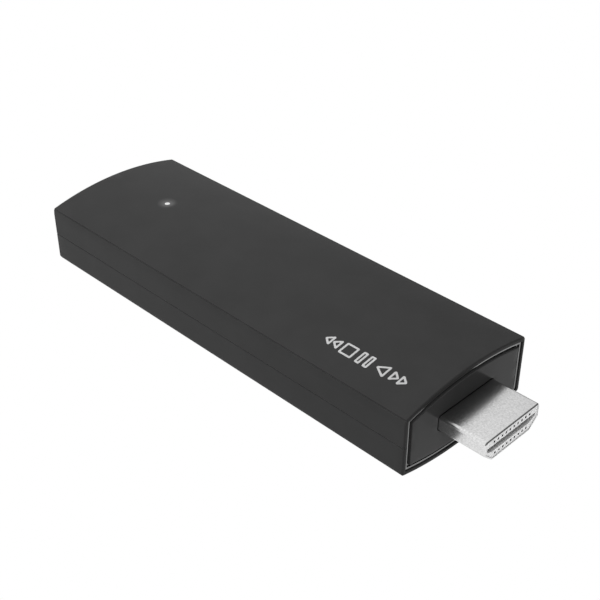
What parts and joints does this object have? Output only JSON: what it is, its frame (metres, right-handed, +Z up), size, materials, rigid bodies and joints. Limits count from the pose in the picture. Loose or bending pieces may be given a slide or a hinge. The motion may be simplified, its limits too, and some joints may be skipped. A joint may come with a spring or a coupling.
{
  "type": "streaming media player",
  "caption": "Plug-in television streaming stick: arched black case in two halves, framed end plate with a fixed D-shaped video plug, power inlet, sprung reset button and status light.",
  "frame": {"origin": "centre of the bounding box on the plane that the arched underside touches", "axes": "+X points out of the plug, +Y is the side with the power inlet and the reset button, +Z is up, the side with the status light"},
  "size_m": [0.099, 0.03, 0.015],
  "materials": {
    "case_plastic": "fine matt black moulding",
    "end_plate_plastic": "semi-gloss black moulding",
    "ring_chrome": "smoked satin chrome",
    "plug_metal": "nickel-plated, finely brushed",
    "insert_plastic": "light grey moulding",
    "gold_contact": "gold flash",
    "board_laminate": "green solder mask",
    "chip_epoxy": "black epoxy",
    "resistor_ceramic": "black film on ceramic",
    "capacitor_ceramic": "tan ceramic with tinned ends",
    "ferrite": "dark grey ferrite",
    "shield_metal": "tinned sheet",
    "screw_steel": "zinc-plated",
    "thermal_pad": "soft silicone",
    "spreader_aluminium": "plain sheet",
    "antenna_brass": "stamped sheet",
    "black_nylon": "black nylon",
    "white_nylon": "white nylon",
    "led_resin": "clear resin over a white body, emissive",
    "light_pipe_acrylic": "frosted acrylic lit from below, emissive"
  },
  "bodies": {
    "stick": {"top_case": "case_plastic", "bottom_case": "case_plastic", "end_plate": "end_plate_plastic", "accent_ring": "ring_chrome", "plug_shell": "plug_metal", "plug_insert": "insert_plastic", "plug_contacts_upper": "gold_contact", "plug_contacts_lower": "gold_contact", "main_board": "board_laminate", "processor": "chip_epoxy", "memory_chip_left": "chip_epoxy", "memory_chip_right": "chip_epoxy", "flash_chip": "chip_epoxy", "power_chip": "chip_epoxy", "wireless_module": "shield_metal", "crystal": "shield_metal", "inductors": "ferrite", "capacitors": "capacitor_ceramic", "resistors": "resistor_ceramic", "surge_arrays": "chip_epoxy", "shield_frame": "shield_metal", "shield_lid": "shield_metal", "processor_pad": "thermal_pad", "spreader_pad": "thermal_pad", "heat_spreader_top": "spreader_aluminium", "flash_pad": "thermal_pad", "heat_spreader_bottom": "spreader_aluminium", "antenna_left": "antenna_brass", "antenna_right": "antenna_brass", "usb_shell": "shield_metal", "usb_tongue": "black_nylon", "usb_contacts": "gold_contact", "status_led": "led_resin", "light_pipe": "light_pipe_acrylic", "switch_body": "black_nylon", "board_screws": "screw_steel"},
    "reset_key": {"reset_button": "case_plastic", "switch_plunger": "white_nylon"}
  },
  "joints": [
    {"name": "reset_press", "type": "slide", "parent": "stick", "child": "reset_key", "axis": [0, -1, 0], "range_m": [0, 0.0003], "stiffness_N_per_m": 2000, "springref_m": -0.0002}
  ]
}
